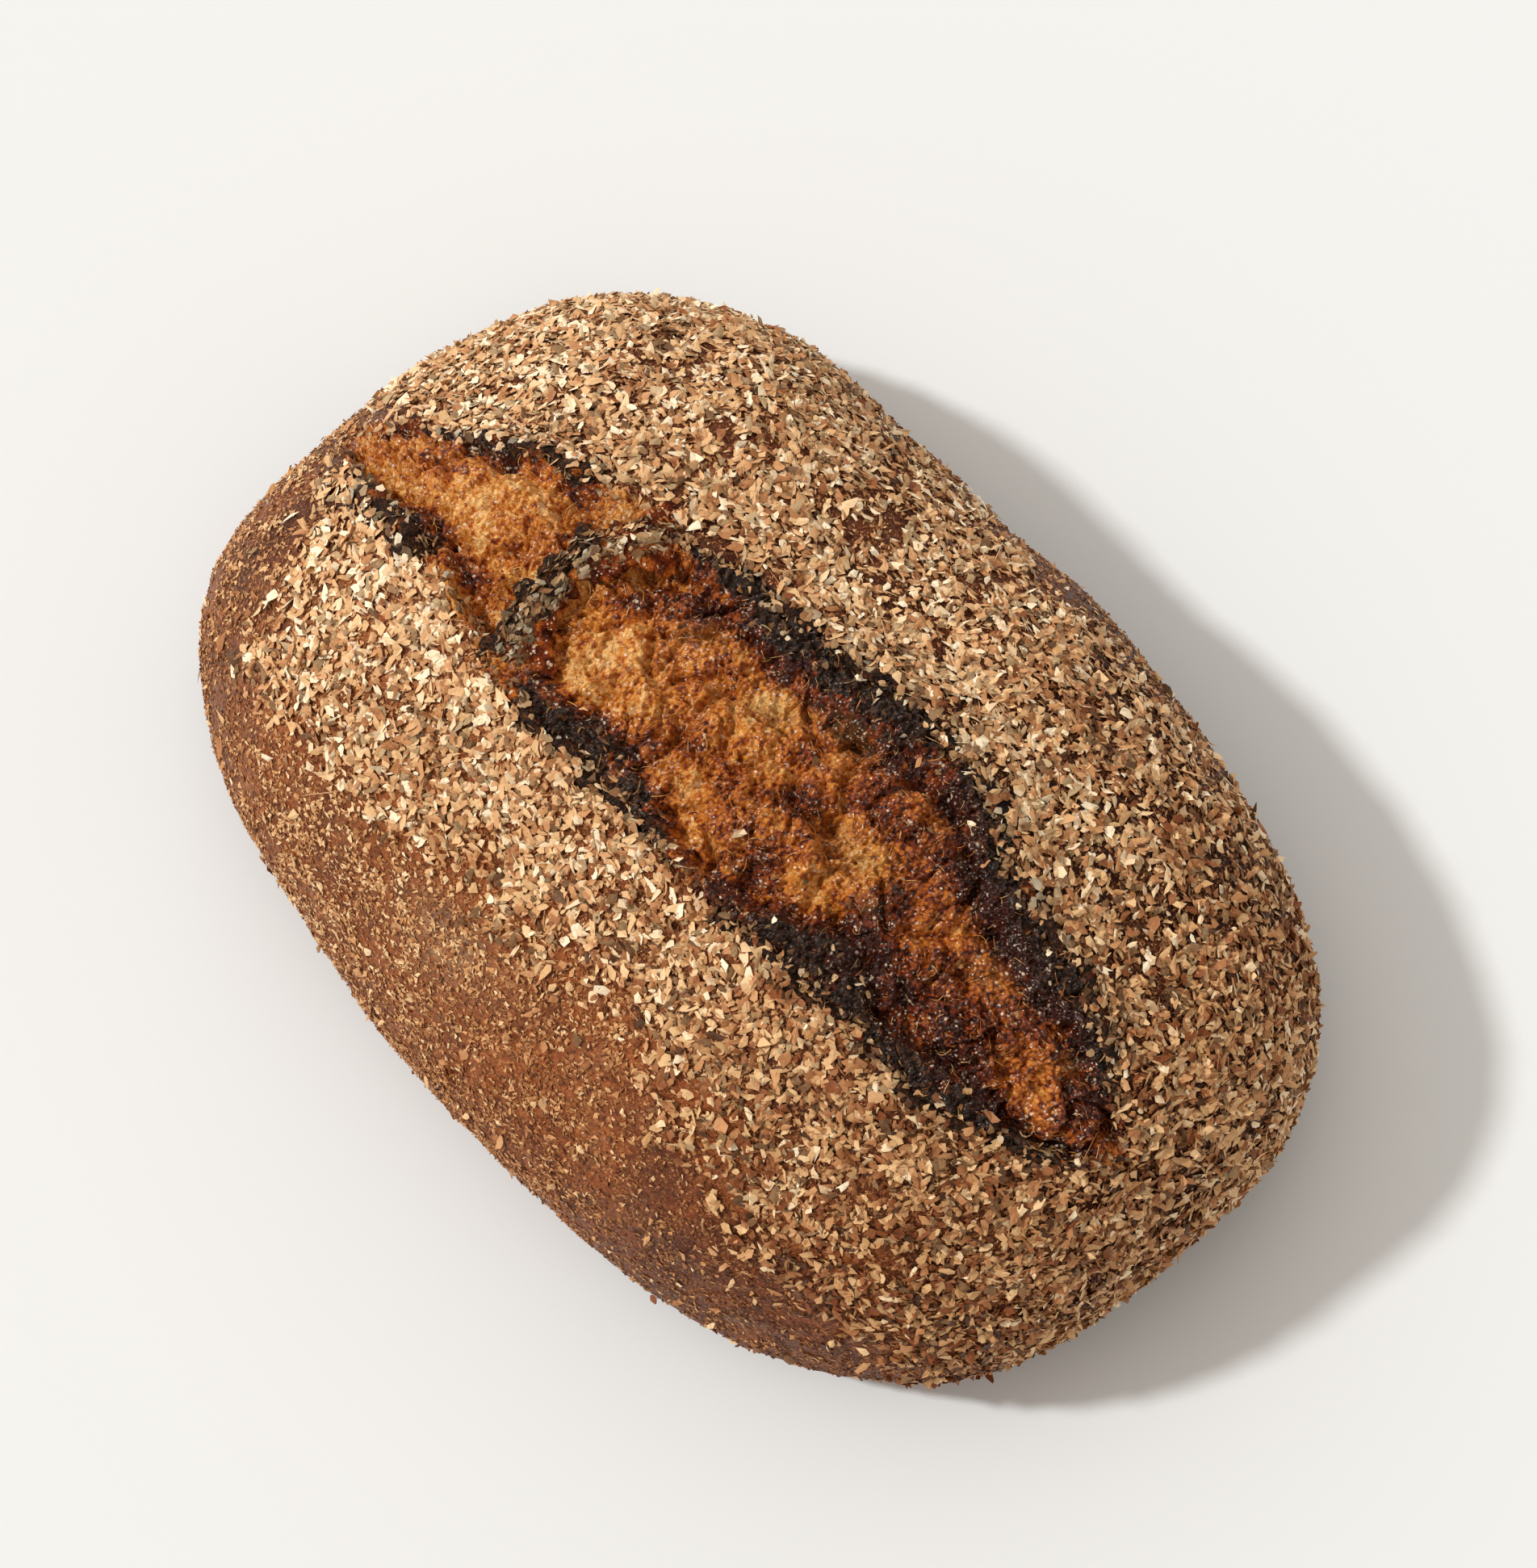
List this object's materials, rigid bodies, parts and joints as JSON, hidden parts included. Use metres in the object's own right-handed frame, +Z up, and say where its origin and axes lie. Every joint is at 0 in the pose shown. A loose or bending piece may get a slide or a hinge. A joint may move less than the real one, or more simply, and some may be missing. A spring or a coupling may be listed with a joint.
{
  "type": "sourdough loaf",
  "caption": "Long oval sourdough loaf, split open along its back with torn golden crumb, burnt lips and a coat of coarse bran flakes; rests on its flat base.",
  "frame": {"origin": "centre of the flat base, on the surface that the loaf stands on", "axes": "+X along the loaf towards its blunter end, where the split stops short; +Y across towards the flank that bran covers; +Z up"},
  "size_m": [0.2508, 0.173, 0.0936],
  "materials": {
    "crust": "dark baked crust, brown to red-brown, satin with a fine dry grain",
    "bran": "matt toasted bran flakes, straw to pinkish tan with some grey-brown ones",
    "crumb": "torn baked crumb, amber to red-brown, moist-looking gloss on a grainy, fibrous surface",
    "burnt_lip": "charred crust edge, near black, rough with small glossy blisters"
  },
  "bodies": {
    "root": {"loaf": "crust"}
  },
  "joints": []
}
